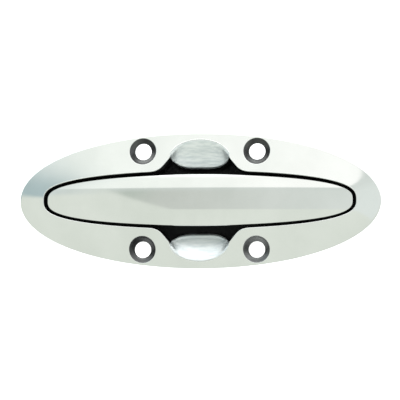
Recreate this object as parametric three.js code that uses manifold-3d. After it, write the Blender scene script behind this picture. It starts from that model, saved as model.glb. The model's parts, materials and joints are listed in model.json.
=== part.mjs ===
// Flush pull-up deck cleat, 152 mm horn.
//
// A polished stainless flange sits on the deck. Its trough holds the horn bar level with the crown when
// the cleat is down. Two fingers go into the scoops, hook under the bar and pull it up on two posts
// until the yoke under the posts meets the guide bosses.
// Origin: centre of the flange on the deck plane. +X along the bar, +Z up, millimetres.
import * as THREE from "three";
import { mergeVertices } from "three/addons/utils/BufferGeometryUtils.js";
import Module from "manifold-3d";

const wasm = await Module();
wasm.setup();

const GAP = 0.3;

// Flange
const FLANGE = { a: 90.5, b: 34.25, power: 1 / 2.1 };
const RIM_Z = 2.6;
const CROWN_SLOPE = 0.245;
const CROWN_FLATTEN = 0.0008;
const RIM_FILLET = 1.2;

// Horn bar
const BAR = { a: 76.2, b: 12.85, power: 0.345 };
const BAR_TOP = 9.0;
const BAR_DROOP = 4.8;
const BAR_CAMBER = 2.8;
const BAR_EDGE = 1.2;
const BAR_LAND = 1.0;

// Trough, finger scoops and castings under the flange
const SLOT = { a: 77.85, b: 14.4, power: 0.345 };
const FLOOR_CLEARANCE = 1.8;
const POCKET_HALF = 34;
const POCKET_FLOOR = -14;
const WALL = 2.9;
const SCOOP = { cy: 20, rx: 14.9, ry: 9.75, depth: 7.4, root: 14.4, power: 1.1 };
const FLARE = { cx: 24.4, cy: 22, r: 8, turn: 50, tip: [14.67, 21.15] };
const LIP = { y: 16.1, rise: 5, at: 15, end: 14.2 };
const PAD_Z = -17;

// Posts, guides and yoke
const POST_X = 22;
const POST_R = 6.35;
const POST_TOP = 2.4;
const TRAVEL = 36;
const BOSS_R = 11;
const BOSS_Z = -37;
const BUSH_R = 8;
const BUSH_TOP = -25.6;
const BUSH_FLANGE = 1.2;
const SEAL_R = 9.3;
const BUMPER_H = 3;
const YOKE = { halfX: 33, halfY: 9.5, h: 5 };
const THREAD_R = 3;

// Friction plungers
const PLUNGER_Z = -21.5;
const PLUNGER_END = 41;

// Drain cup
const CUP = { halfX: 45.5, halfY: 15.3, corner: 12, wall: 2.5, neckY: 12.5, shoulder: -40, neck: -46 };
const RIM = { halfX: 57, halfY: 15.3, corner: 12, h: 3.5 };
const EAR = { y: 19.8, r: 5 };
const GASKET_H = 1.6;
const CUP_SCREWS = [[-50, -8], [-50, 8], [0, -EAR.y], [0, EAR.y], [50, -8], [50, 8]];
const BARB_Z = -83.5;

// Deck bolts
const BOLTS = { x: 28.4, y: 24.4, r: 4.1, sinkR: 6.65, sinkZ: 1.2 };

const BUSH_BOTTOM = BOSS_Z - GAP - BUSH_FLANGE;
const BUMPER_TOP = BUSH_BOTTOM - TRAVEL - 0.2;
const POST_BOTTOM = BUMPER_TOP - BUMPER_H;
const YOKE_TOP = POST_BOTTOM - GAP;
const YOKE_BOTTOM = YOKE_TOP - YOKE.h;
const WASHER_H = 1.6;
const HEAD_H = 4;
const CUP_FLOOR = YOKE_BOTTOM - 2 * GAP - WASHER_H - HEAD_H - 2.8;
const CUP_BOTTOM = CUP_FLOOR - CUP.wall;
const GASKET_TOP = PAD_Z - GAP;
const CUP_TOP = GASKET_TOP - GASKET_H - GAP;

const steel = { color: 0xd4d7d6, roughness: 0.16, metalness: 1 };
const dullSteel = { color: 0xb4b7b6, roughness: 0.35, metalness: 1 };
const nylon = { color: 0x1d1e20, roughness: 0.55, metalness: 0 };
const rubber = { color: 0x101112, roughness: 0.8, metalness: 0 };
const acetal = { color: 0xe6e3da, roughness: 0.45, metalness: 0 };

// ---------------------------------------------------------------- solids

function toSolid(geometry) {
  const bare = geometry.clone();
  bare.deleteAttribute("normal");
  bare.deleteAttribute("uv");
  const merged = mergeVertices(bare, 1e-4);
  return new wasm.Manifold(new wasm.Mesh({
    numProp: 3,
    vertProperties: new Float32Array(merged.attributes.position.array),
    triVerts: new Uint32Array(merged.index.array),
  }));
}

function toGeometry(solid) {
  const mesh = solid.getMesh();
  const geometry = new THREE.BufferGeometry();
  geometry.setAttribute("position", new THREE.BufferAttribute(mesh.vertProperties, 3));
  geometry.setIndex(new THREE.BufferAttribute(mesh.triVerts, 1));
  geometry.computeVertexNormals();
  return geometry;
}

function joined(solids) {
  return solids.reduce((whole, next) => whole.add(next));
}

function cutBy(solid, cutters) {
  return cutters.reduce((whole, next) => whole.subtract(next), solid);
}

// Closed skin over equal rings of points, listed from the bottom up. An end ring is closed with a fan to
// its middle unless it has already drawn in to a line.
function ringSolid(rings, closeBottom = true) {
  const n = rings[0].length;
  const positions = rings.flat(2);
  const index = [];
  for (let k = 0; k + 1 < rings.length; k++) {
    for (let i = 0; i < n; i++) {
      const a = k * n + i;
      const b = k * n + ((i + 1) % n);
      index.push(a, b, b + n, a, b + n, a + n);
    }
  }
  const fan = (k, flip) => {
    const centre = positions.length / 3;
    positions.push(...[0, 1, 2].map((axis) => rings[k].reduce((sum, p) => sum + p[axis], 0) / n));
    for (let i = 0; i < n; i++) {
      const a = k * n + i;
      const b = k * n + ((i + 1) % n);
      index.push(centre, flip ? b : a, flip ? a : b);
    }
  };
  if (closeBottom) {
    fan(0, true);
  }
  if (rings.at(-1).some(([, y]) => Math.abs(y) > 1e-6)) {
    fan(rings.length - 1, false);
  }
  return indexed(positions, index);
}

function indexed(positions, index) {
  const geometry = new THREE.BufferGeometry();
  geometry.setAttribute("position", new THREE.Float32BufferAttribute(positions, 3));
  geometry.setIndex(index);
  const merged = mergeVertices(geometry, 1e-4);
  const kept = [];
  for (let t = 0; t < merged.index.count; t += 3) {
    const [a, b, c] = [0, 1, 2].map((i) => merged.index.getX(t + i));
    if (a !== b && b !== c && c !== a) {
      kept.push(a, b, c);
    }
  }
  merged.setIndex(kept);
  return merged;
}

// Solid of revolution about Z from a closed [radius, z] profile.
function turned(profile, segments = 24) {
  const points = [...profile, profile[0]].map(([r, z]) => new THREE.Vector2(r, z));
  const lathe = new THREE.LatheGeometry(points, segments).rotateX(Math.PI / 2);
  lathe.deleteAttribute("normal");
  lathe.deleteAttribute("uv");
  const geometry = indexed(Array.from(lathe.attributes.position.array), Array.from(lathe.index.array));
  return outward(geometry);
}

function outward(geometry) {
  const position = geometry.attributes.position;
  const index = geometry.index.array;
  const corner = [new THREE.Vector3(), new THREE.Vector3(), new THREE.Vector3()];
  let volume = 0;
  for (let t = 0; t < index.length; t += 3) {
    corner.forEach((v, i) => v.fromBufferAttribute(position, index[t + i]));
    volume += corner[0].dot(corner[1].clone().cross(corner[2]));
  }
  if (volume < 0) {
    const flipped = [];
    for (let t = 0; t < index.length; t += 3) {
      flipped.push(index[t], index[t + 2], index[t + 1]);
    }
    geometry.setIndex(flipped);
  }
  return geometry;
}

function prism(points, z0, z1) {
  const shape = new THREE.Shape(points.map(([x, y]) => new THREE.Vector2(x, y)));
  const options = { depth: z1 - z0, bevelEnabled: false };
  return new THREE.ExtrudeGeometry(shape, options).translate(0, 0, z0);
}

function roundedPlate(halfX, halfY, corner, z0, z1, segments = 4) {
  const shape = new THREE.Shape();
  shape.moveTo(halfX, -halfY + corner);
  shape.absarc(halfX - corner, halfY - corner, corner, 0, Math.PI / 2);
  shape.absarc(-halfX + corner, halfY - corner, corner, Math.PI / 2, Math.PI);
  shape.absarc(-halfX + corner, -halfY + corner, corner, Math.PI, 1.5 * Math.PI);
  shape.absarc(halfX - corner, -halfY + corner, corner, 1.5 * Math.PI, 2 * Math.PI);
  const options = { depth: z1 - z0, bevelEnabled: false, curveSegments: segments };
  return new THREE.ExtrudeGeometry(shape, options).translate(0, 0, z0);
}

function rod(r, z0, z1, x = 0, y = 0, segments = 20) {
  const cylinder = new THREE.CylinderGeometry(r, r, z1 - z0, segments);
  return cylinder.rotateX(Math.PI / 2).translate(x, y, (z0 + z1) / 2);
}

function rodAlongX(r, x0, x1, z, segments = 20) {
  const cylinder = new THREE.CylinderGeometry(r, r, Math.abs(x1 - x0), segments);
  return cylinder.rotateZ(Math.PI / 2).translate((x0 + x1) / 2, 0, z);
}

function block(x0, x1, y0, y1, z0, z1) {
  const box = new THREE.BoxGeometry(Math.abs(x1 - x0), Math.abs(y1 - y0), z1 - z0);
  return box.translate((x0 + x1) / 2, (y0 + y1) / 2, (z0 + z1) / 2);
}

// ---------------------------------------------------------------- outlines and surfaces

// Points round an outline whose half width is b (1 - (x/a)^2)^power, drawn in by an inset.
function outline(form, inset, count) {
  const a = form.a - inset;
  const b = Math.max(form.b - inset, 0);
  return Array.from({ length: count }, (_, i) => {
    const t = (2 * Math.PI * i) / count;
    const s = Math.sin(t);
    return [a * Math.cos(t), b * Math.sign(s) * Math.abs(s) ** (2 * form.power)];
  });
}

function halfWidth(form, x) {
  return form.b * Math.max(1 - (x / form.a) ** 2, 0) ** form.power;
}

function crownZ(x, y) {
  const u = x / FLANGE.a;
  const v = Math.abs(y / FLANGE.b);
  const reach = Math.hypot(u, v ** 1.05);
  const steepness = Math.hypot(u / FLANGE.a, (1.05 * v ** 1.1) / FLANGE.b);
  const fromRim = Math.min((Math.max(1 - reach, 0) * reach) / Math.max(steepness, 1e-4), 24);
  return RIM_Z + fromRim * (CROWN_SLOPE - CROWN_FLATTEN * fromRim);
}

function barArch(x) {
  return BAR_TOP - BAR_DROOP * (x / BAR.a) ** 2;
}

function barUnder(x) {
  const u = Math.min(Math.abs(x) / BAR.a, 1);
  return barArch(x) - 3 - 10.5 * (1 - u ** 2.4) ** 0.6;
}

function barEdgeTop(x, y) {
  return barArch(x) - BAR_CAMBER * (y / BAR.b) ** 2 - BAR_EDGE;
}

function scoopOuter(x) {
  return SCOOP.cy + SCOOP.ry * Math.sqrt(Math.max(1 - (x / SCOOP.rx) ** 2, 0));
}

// Each point moved out along the outline's normal.
function offsetOutline(points, distance) {
  const n = points.length;
  return points.map((p, i) => {
    const before = points[(i + n - 1) % n];
    const after = points[(i + 1) % n];
    const along = new THREE.Vector2(after[0] - before[0], after[1] - before[1]).normalize();
    return [p[0] + along.y * distance, p[1] - along.x * distance];
  });
}

// Plan of the deep part of the trough, its ends rounded.
function pocketPlan() {
  const round = 8;
  const upper = [];
  for (let i = 0; i <= 16; i++) {
    const x = POCKET_HALF * Math.cos((Math.PI * i) / 16);
    const past = Math.max(Math.abs(x) - POCKET_HALF + round, 0);
    const end = SLOT.b - round + Math.sqrt(round ** 2 - past ** 2);
    upper.push([x, Math.min(halfWidth(SLOT, x), end)]);
  }
  const lower = upper.map(([x, y]) => [-x, -y]);
  return [...upper, ...lower];
}

// Plan of the upright-walled hollow beside each scoop: two flares and the lip line between them.
function scoopPlan() {
  const right = [];
  for (let i = 0; i <= 5; i++) {
    const t = THREE.MathUtils.degToRad(270 - (FLARE.turn * i) / 5);
    right.push([FLARE.cx + FLARE.r * Math.cos(t), FLARE.cy + FLARE.r * Math.sin(t)]);
  }
  right.push(FLARE.tip);
  const lip = [];
  for (let i = 0; i <= 8; i++) {
    const x = LIP.end * (1 - i / 4);
    lip.push([x, LIP.y + LIP.rise * (x / LIP.at) ** 4]);
  }
  const left = right.map(([x, y]) => [-x, y]).reverse();
  return [[-FLARE.cx, 5], [FLARE.cx, 5], ...right, ...lip, ...left];
}

// Cutter for the sloping face of a scoop: columns across X, rows from the rim down to the lip.
function scoopCutter() {
  const columns = 13;
  const rows = 6;
  const top = 14;
  const point = (i, k) => {
    const x = SCOOP.rx * Math.sin((Math.PI / 2) * (-1 + (2 * i) / (columns - 1)));
    const f = 1 - k / (rows - 1);
    const outer = scoopOuter(x);
    const y = SCOOP.root - 2 * (1 - f) + f * (outer - SCOOP.root);
    return [x, y, crownZ(x, outer) - SCOOP.depth * (1 - f ** SCOOP.power)];
  };
  const positions = [];
  for (let i = 0; i < columns; i++) {
    for (let k = 0; k < rows; k++) {
      positions.push(...point(i, k));
    }
  }
  const half = columns * rows;
  for (let i = 0; i < columns; i++) {
    for (let k = 0; k < rows; k++) {
      const [x, y] = point(i, k);
      positions.push(x, y, top);
    }
  }
  const index = [];
  const quad = (a, b, c, d) => index.push(a, b, c, a, c, d);
  const at = (i, k) => i * rows + k;
  for (let i = 0; i + 1 < columns; i++) {
    for (let k = 0; k + 1 < rows; k++) {
      quad(at(i, k), at(i + 1, k), at(i + 1, k + 1), at(i, k + 1));
      quad(half + at(i, k), half + at(i, k + 1), half + at(i + 1, k + 1), half + at(i + 1, k));
    }
    quad(at(i, 0), half + at(i, 0), half + at(i + 1, 0), at(i + 1, 0));
    quad(at(i, rows - 1), at(i + 1, rows - 1), half + at(i + 1, rows - 1), half + at(i, rows - 1));
  }
  for (let k = 0; k + 1 < rows; k++) {
    quad(at(0, k), at(0, k + 1), half + at(0, k + 1), half + at(0, k));
    const end = at(columns - 1, k);
    quad(end, half + end, half + end + 1, end + 1);
  }
  return outward(indexed(positions, index));
}

function turnedAbout(geometry) {
  return geometry.clone().rotateZ(Math.PI);
}

// ---------------------------------------------------------------- deck plate

function flangeBlank() {
  const count = 64;
  const ring = (inset, height) => outline(FLANGE, inset, count).map(([x, y]) => [x, y, height(x, y)]);
  const inner = outline(FLANGE, RIM_FILLET, count);
  const scaled = (s) => inner.map(([x, y]) => [s * x, s * y, crownZ(s * x, s * y)]);
  const low = RIM_FILLET;
  const filleted = (inset) => {
    const rise = Math.sqrt(1 - (1 - inset / RIM_FILLET) ** 2);
    return ring(inset, (x, y) => low + (crownZ(x, y) - low) * rise);
  };
  return ringSolid([
    ring(0.4, () => 0),
    ring(0, () => 0.4),
    filleted(0),
    filleted(0.3),
    filleted(RIM_FILLET),
    ...[0.92, 0.82, 0.7, 0.55, 0.3].map(scaled),
  ]);
}

function troughFloor(x) {
  return barUnder(x) - FLOOR_CLEARANCE;
}

// Trough-shaped solid: upright sides, rounded bottom edge, floor following the underside of the bar.
function troughSolid(form, top, drop, corner) {
  const low = (x) => troughFloor(x) - drop;
  const ring = (inset, lift) => outline(form, inset, 44).map(([x, y]) => [x, y, low(x) + lift]);
  const rounded = (f) => ring(f * corner, corner * (1 - Math.sqrt(1 - (1 - f) ** 2)));
  const mouth = outline(form, 0, 44).map(([x, y]) => [x, y, top]);
  const middle = (form.b + corner) / 2;
  return ringSolid([ring(form.b, 0), ring(middle, 0), rounded(1), rounded(0.3), rounded(0), mouth], false);
}

// Metal under the sloping face of a scoop, drawing in as it goes down.
function scoopLobe() {
  return ringSolid([[0.35, -9], [0.6, -7.5], [0.86, -4.5], [1, -1], [1, 0.5]].map(([s, z]) => {
    const cy = SCOOP.cy - 1.5 + 5.25 * (s - 1);
    return Array.from({ length: 20 }, (_, i) => {
      const t = (2 * Math.PI * i) / 20;
      return [18.3 * s * Math.cos(t), cy + 10.2 * s * Math.sin(t), z];
    });
  }));
}

function deckPlate() {
  const shellForm = { a: SLOT.a + WALL, b: SLOT.b + 3, power: SLOT.power };
  const scoopWall = prism(offsetOutline(scoopPlan(), WALL), PAD_Z, 0.5);
  const lobe = scoopLobe();
  const metal = [
    flangeBlank(),
    troughSolid(shellForm, 1, WALL, 4),
    prism(offsetOutline(pocketPlan(), WALL), PAD_Z, 0.5),
    scoopWall,
    turnedAbout(scoopWall),
    lobe,
    turnedAbout(lobe),
    roundedPlate(RIM.halfX, RIM.halfY, RIM.corner, PAD_Z, PAD_Z + 3.2),
    block(-POST_X, POST_X, -3.5, 3.5, BOSS_Z + 3, PAD_Z + 1),
  ];
  for (const side of [-1, 1]) {
    metal.push(rod(BOSS_R, BOSS_Z, PAD_Z + 1, side * POST_X, 0, 28));
    metal.push(rodAlongX(5.5, side * POST_X, side * PLUNGER_END, PLUNGER_Z));
    metal.push(rod(EAR.r, PAD_Z, -7, 0, side * EAR.y));
    metal.push(block(side * 53 - 1.5, side * 53 + 1.5, -9, 9, PAD_Z + 1, -6));
  }
  for (const [x, y] of CUP_SCREWS.filter(([x]) => x !== 0)) {
    metal.push(rod(4.6, PAD_Z, -6, x, y));
  }
  const cutters = [
    troughSolid(SLOT, 14, 0, 3),
    prism(pocketPlan(), POCKET_FLOOR, 5),
    prism(scoopPlan(), POCKET_FLOOR, 14),
    turnedAbout(prism(scoopPlan(), POCKET_FLOOR, 14)),
    scoopCutter(),
    turnedAbout(scoopCutter()),
    rod(3, PAD_Z - 1, -10, 0, 8.5),
    rod(3, PAD_Z - 1, -10, 0, -8.5),
  ];
  for (const side of [-1, 1]) {
    cutters.push(guideBore().translate(side * POST_X, 0, 0));
    cutters.push(rodAlongX(3.3, side * 26, side * 42, PLUNGER_Z));
    cutters.push(placedRestPad(side, GAP));
    for (const end of [-1, 1]) {
      cutters.push(boltHole().translate(side * BOLTS.x, end * BOLTS.y, 0));
    }
  }
  for (const [x, y] of CUP_SCREWS) {
    cutters.push(rod(2.3, PAD_Z - 1, -9.6, x, y, 16));
  }
  return cutBy(joined(metal.map(toSolid)), cutters.map(toSolid));
}

function boltHole() {
  const top = crownZ(BOLTS.x, BOLTS.y);
  const sink = top - (BOLTS.sinkR - BOLTS.r);
  return turned([[0, -1], [BOLTS.r, -1], [BOLTS.r, sink], [BOLTS.sinkR + BOLTS.sinkZ, top + BOLTS.sinkZ],
    [BOLTS.sinkR + BOLTS.sinkZ, 14], [0, 14]], 28);
}

// Stepped bore of a guide boss: wiper seal seat on top, bush seat from below.
function guideBore() {
  const bore = POST_R + 2 * GAP;
  return turned([[0, BOSS_Z - 1], [BUSH_R + GAP, BOSS_Z - 1], [BUSH_R + GAP, BUSH_TOP + GAP],
    [bore, BUSH_TOP + GAP], [bore, POCKET_FLOOR - 3.5], [SEAL_R + GAP, POCKET_FLOOR - 3.5],
    [SEAL_R + GAP, POCKET_FLOOR + 1], [0, POCKET_FLOOR + 1]]);
}

// ---------------------------------------------------------------- bar, posts and yoke

function hornBar() {
  const ring = (inset, height) => outline(BAR, inset, 52).map(([x, y]) => [x, y, height(x, y)]);
  const under = (inset) => {
    const q = 1 - inset / BAR.b;
    return ring(inset, (x, y) => {
      const side = barEdgeTop(x, y) - BAR_LAND;
      return side + (barUnder(x) - side) * Math.sqrt(1 - q * q);
    });
  };
  const over = (inset) => {
    const round = Math.min(inset / BAR_EDGE, 1);
    return ring(inset, (x, y) => barEdgeTop(x, y) + BAR_EDGE * Math.sqrt(1 - (1 - round) ** 2));
  };
  const blank = ringSolid([...[1, 0.7, 0.42, 0.2, 0.06, 0].map((f) => under(f * BAR.b)),
    ...[0, 0.15, 0.5, 1.2, 4, 8, BAR.b].map(over)], false);
  const sockets = [-1, 1].map((side) => rod(POST_R + GAP, -12, POST_TOP + GAP, side * POST_X, 0, 24));
  return cutBy(toSolid(blank), sockets.map(toSolid));
}

function post() {
  const thread = THREAD_R + GAP;
  return turned([[0, POST_BOTTOM + 16], [thread, POST_BOTTOM + 15], [thread, POST_BOTTOM],
    [POST_R - 0.8, POST_BOTTOM], [POST_R, POST_BOTTOM + 0.8], [POST_R, POST_TOP - 0.8],
    [POST_R - 0.8, POST_TOP], [0, POST_TOP]]);
}

function yokePlate() {
  const plate = roundedPlate(YOKE.halfX, YOKE.halfY, YOKE.halfY, YOKE_BOTTOM, YOKE_TOP);
  const holes = [-1, 1].map((side) => rod(THREAD_R + 0.4, YOKE_BOTTOM - 1, YOKE_TOP + 1, side * POST_X));
  return cutBy(toSolid(plate), holes.map(toSolid));
}

function yokeScrew() {
  const washerBottom = YOKE_BOTTOM - GAP - WASHER_H;
  const headTop = washerBottom - GAP;
  const shank = turned([[0, headTop - 1], [THREAD_R, headTop - 1], [THREAD_R, POST_BOTTOM + 11],
    [THREAD_R - 0.8, POST_BOTTOM + 12], [0, POST_BOTTOM + 12]], 24);
  const head = rod(5.6, headTop - HEAD_H, headTop, 0, 0, 6);
  return joined([toSolid(shank), toSolid(head)]);
}

// Spring washer: a ring with one slanting split.
function lockWasher() {
  const top = YOKE_BOTTOM - GAP;
  const ring = turned([[3.4, top - WASHER_H], [5.4, top - WASHER_H], [5.4, top], [3.4, top]]);
  const split = block(2.5, 6.5, -0.5, 0.5, top - WASHER_H - 1, top + 1);
  return cutBy(toSolid(ring), [toSolid(split)]);
}

function stopBumper() {
  const inner = POST_R + GAP;
  const z = POST_BOTTOM;
  const top = BUMPER_TOP;
  return turned([[inner, z], [9.1, z], [9.5, z + 0.4], [9.5, top - 0.8], [8.7, top], [inner, top]]);
}

// ---------------------------------------------------------------- guide parts

function wiperSeal() {
  const inner = POST_R + GAP;
  const low = POCKET_FLOOR - 3.5 + GAP;
  const high = POCKET_FLOOR - 0.3;
  return turned([[inner, low], [SEAL_R, low], [SEAL_R, high - 0.6], [SEAL_R - 0.6, high],
    [inner + 1.6, high], [inner + 0.5, high - 1], [inner, high - 0.1]]);
}

function postBush() {
  const inner = POST_R + GAP;
  const shoulder = BOSS_Z - GAP;
  return turned([[inner, BUSH_BOTTOM], [BOSS_R - 1, BUSH_BOTTOM], [BOSS_R - 1, shoulder], [BUSH_R, shoulder],
    [BUSH_R, BUSH_TOP - 0.6], [BUSH_R - 0.6, BUSH_TOP], [inner, BUSH_TOP]]);
}

function frictionPad() {
  return turned([[0, 0], [2.4, 0], [3, 0.6], [3, 4], [0, 4]], 20);
}

// Compression spring: round wire wound two and a half turns.
function frictionSpring() {
  class Winding extends THREE.Curve {
    getPoint(t, target = new THREE.Vector3()) {
      const angle = 5 * Math.PI * t;
      return target.set(2.1 * Math.cos(angle), 2.1 * Math.sin(angle), 0.4 + 2.4 * t);
    }
  }
  const wire = new THREE.Shape();
  wire.absarc(0, 0, 0.35, 0, 2 * Math.PI);
  return new THREE.ExtrudeGeometry(wire, { steps: 26, curveSegments: 3, extrudePath: new Winding() });
}

function frictionScrew() {
  const body = turned([[0, 0], [2.5, 0], [3, 0.5], [3, 3.6], [2.6, 4], [0, 4]], 20);
  const socket = rod(1.75, 2.2, 6.2, 0, 0, 6);
  return cutBy(toSolid(body), [toSolid(socket)]);
}

// Plunger pieces are drawn along +Z from the post outward, then laid along the bar.
function plungerPlace(side, reach) {
  return { x: side * (POST_X + reach), z: PLUNGER_Z, turn: (side * Math.PI) / 2 };
}

function restPad(margin) {
  return roundedPlate(7 + margin, 4.5 + margin, 4.5 + margin, -2.2 - margin, margin > 0 ? 1.5 : 0);
}

function restPadPlace(side) {
  const x = 58;
  const slope = (barUnder(x + 7) - barUnder(x - 7)) / 14;
  return { x: side * x, z: barUnder(x) - GAP - 0.35, turn: -side * Math.atan(slope) };
}

function placedRestPad(side, margin) {
  const { x, z, turn } = restPadPlace(side);
  return restPad(margin).rotateY(turn).translate(x, 0, z);
}

// ---------------------------------------------------------------- drain cup

function screwHoles(low, high, r) {
  return CUP_SCREWS.map(([x, y]) => toSolid(rod(r, low, high, x, y, 16)));
}

function earedPlate(z0, z1) {
  const plate = toSolid(roundedPlate(RIM.halfX, RIM.halfY, RIM.corner, z0, z1));
  return joined([plate, ...[-1, 1].map((side) => toSolid(rod(EAR.r, z0, z1, 0, side * EAR.y)))]);
}

function roundedOutline(halfX, halfY, corner, segments) {
  const points = [];
  for (const [k, sx, sy] of [[0, 1, 1], [1, -1, 1], [2, -1, -1], [3, 1, -1]]) {
    for (let i = 0; i <= segments; i++) {
      const t = (Math.PI / 2) * (k + i / segments);
      points.push([sx * (halfX - corner) + corner * Math.cos(t), sy * (halfY - corner) + corner * Math.sin(t)]);
    }
  }
  return points;
}

// Cup-shaped solid, its long walls drawn in below the guide bosses.
function cupForm(inset, z0, z1) {
  const ring = (halfY, z) => {
    const points = roundedOutline(CUP.halfX - inset, halfY - inset, CUP.corner - inset, 5);
    return points.map(([x, y]) => [x, y, z]);
  };
  return ringSolid([
    ring(CUP.neckY, z0),
    ring(CUP.neckY, CUP.neck),
    ring(CUP.halfY, CUP.shoulder),
    ring(CUP.halfY, z1),
  ]);
}

function drainCup() {
  const rimBottom = CUP_TOP - RIM.h;
  const body = [
    toSolid(cupForm(0, CUP_BOTTOM, CUP_TOP)),
    earedPlate(rimBottom, CUP_TOP),
    toSolid(rodAlongX(9.8, CUP.halfX - 4, CUP.halfX + 3.5, BARB_Z)),
  ];
  const [root, tip] = [CUP.halfX - 1, RIM.halfX - 3];
  const gusset = [[root, CUP_TOP - 1], [tip, CUP_TOP - 1], [tip, rimBottom - 0.5], [root, rimBottom - 14]];
  const fin = [[12, -60], [12.6, -60], [15.2, -41], [12, -41]];
  for (const side of [-1, 1]) {
    const rib = prism(gusset, -1.2, 1.2).rotateX(Math.PI / 2);
    body.push(toSolid(side > 0 ? rib : turnedAbout(rib)));
    for (const x of [-30, -15, 15, 30]) {
      body.push(toSolid(prism(fin, -1, 1).rotateX(Math.PI / 2).rotateZ((side * Math.PI) / 2).translate(x, 0, 0)));
    }
  }
  return cutBy(joined(body), [
    toSolid(cupForm(CUP.wall, CUP_FLOOR, CUP_TOP + 1)),
    toSolid(rodAlongX(6.3, CUP.halfX - 6, CUP.halfX + 6, BARB_Z)),
    ...screwHoles(rimBottom - 1, CUP_TOP + 1, 2.4),
  ]);
}

function cupGasket() {
  const low = GASKET_TOP - GASKET_H;
  const [halfX, halfY, corner] = [CUP.halfX, CUP.halfY, CUP.corner].map((size) => size - CUP.wall);
  const hollow = toSolid(roundedPlate(halfX, halfY, corner, low - 1, GASKET_TOP + 1));
  return cutBy(earedPlate(low, GASKET_TOP), [hollow, ...screwHoles(low - 1, GASKET_TOP + 1, 2.4)]);
}

function cupScrew() {
  const headTop = -GAP;
  const shank = turned([[0, headTop - 1], [2, headTop - 1], [2, 11], [1.4, 11.8], [0, 11.8]], 16);
  const low = headTop - 2.6;
  const head = turned([[0, low], [2.6, low], [3.8, headTop - 1.2], [3.8, headTop], [0, headTop]], 20);
  const socket = rod(1.45, low - 1.7, low + 1.3, 0, 0, 6);
  return cutBy(joined([toSolid(shank), toSolid(head)]), [toSolid(socket)]);
}

// Hose tail screwed into the cup, drawn along +Z from its inner end.
function drainBarb() {
  const profile = [[4, 0], [6, 0], [6, 8.6], [5.6, 13], [5.6, 15]];
  for (const z of [15, 20, 25]) {
    profile.push([7, z + 0.2], [5.8, z + 4.8]);
  }
  profile.push([5.4, 31.5], [4, 31.5]);
  const tail = toSolid(turned(profile, 20));
  const hex = toSolid(rod(10, 8.2, 12.2, 0, 0, 6));
  const bore = toSolid(rod(4, -1, 33));
  return cutBy(joined([tail, hex]), [bore]);
}

function drainSeal() {
  return turned([[6.3, 0], [8.4, 0], [8.8, 0.5], [8.8, 1], [8.4, 1.5], [6.3, 1.5]]);
}

// ---------------------------------------------------------------- assembly

const group = new THREE.Group();
const housing = new THREE.Group();
const cleat = new THREE.Group();
group.add(housing, cleat);

function add(parent, name, shape, look, place = {}) {
  const geometry = shape.isBufferGeometry ? shape : toGeometry(shape);
  const mesh = new THREE.Mesh(geometry, new THREE.MeshStandardMaterial(look));
  mesh.name = name;
  mesh.position.set(place.x ?? 0, place.y ?? 0, place.z ?? 0);
  mesh.rotation.y = place.turn ?? 0;
  parent.add(mesh);
}

add(housing, "deck_plate", deckPlate(), steel);
add(housing, "drain_cup", drainCup(), nylon);
add(housing, "cup_gasket", cupGasket(), rubber);
CUP_SCREWS.forEach(([x, y], i) => {
  add(housing, `cup_screw_${i + 1}`, cupScrew(), dullSteel, { x, y, z: CUP_TOP - RIM.h });
});
add(housing, "drain_seal", drainSeal(), rubber, { x: CUP.halfX + 3.5 + GAP, z: BARB_Z, turn: Math.PI / 2 });
add(housing, "drain_barb", drainBarb(), nylon, { x: CUP.halfX - 2.6, z: BARB_Z, turn: Math.PI / 2 });

add(cleat, "horn_bar", hornBar(), steel);
add(cleat, "yoke_plate", yokePlate(), dullSteel);
for (const [side, hand] of [[-1, "left"], [1, "right"]]) {
  const centre = { x: side * POST_X };
  add(housing, `post_seal_${hand}`, wiperSeal(), rubber, centre);
  add(housing, `post_bush_${hand}`, postBush(), acetal, centre);
  const reach = POST_R + GAP;
  const screwReach = PLUNGER_END - POST_X - 4.2;
  add(housing, `friction_pad_${hand}`, frictionPad(), acetal, plungerPlace(side, reach));
  add(housing, `friction_spring_${hand}`, frictionSpring(), dullSteel, plungerPlace(side, reach + 4.2));
  add(housing, `friction_screw_${hand}`, frictionScrew(), dullSteel, plungerPlace(side, screwReach));
  add(housing, `horn_rest_pad_${hand}`, restPad(0), rubber, restPadPlace(side));
  add(cleat, `post_${hand}`, post(), steel, centre);
  add(cleat, `stop_bumper_${hand}`, stopBumper(), rubber, centre);
  add(cleat, `yoke_screw_${hand}`, yokeScrew(), dullSteel, centre);
  add(cleat, `lock_washer_${hand}`, lockWasher(), dullSteel, centre);
}

export default group;
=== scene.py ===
"""Flush pull-up deck cleat: fine surfaces, finishes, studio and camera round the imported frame."""
import json
import math

import bmesh
import bpy
import numpy as np
from mathutils import Matrix, Vector
from mathutils.geometry import delaunay_2d_cdt

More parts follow.
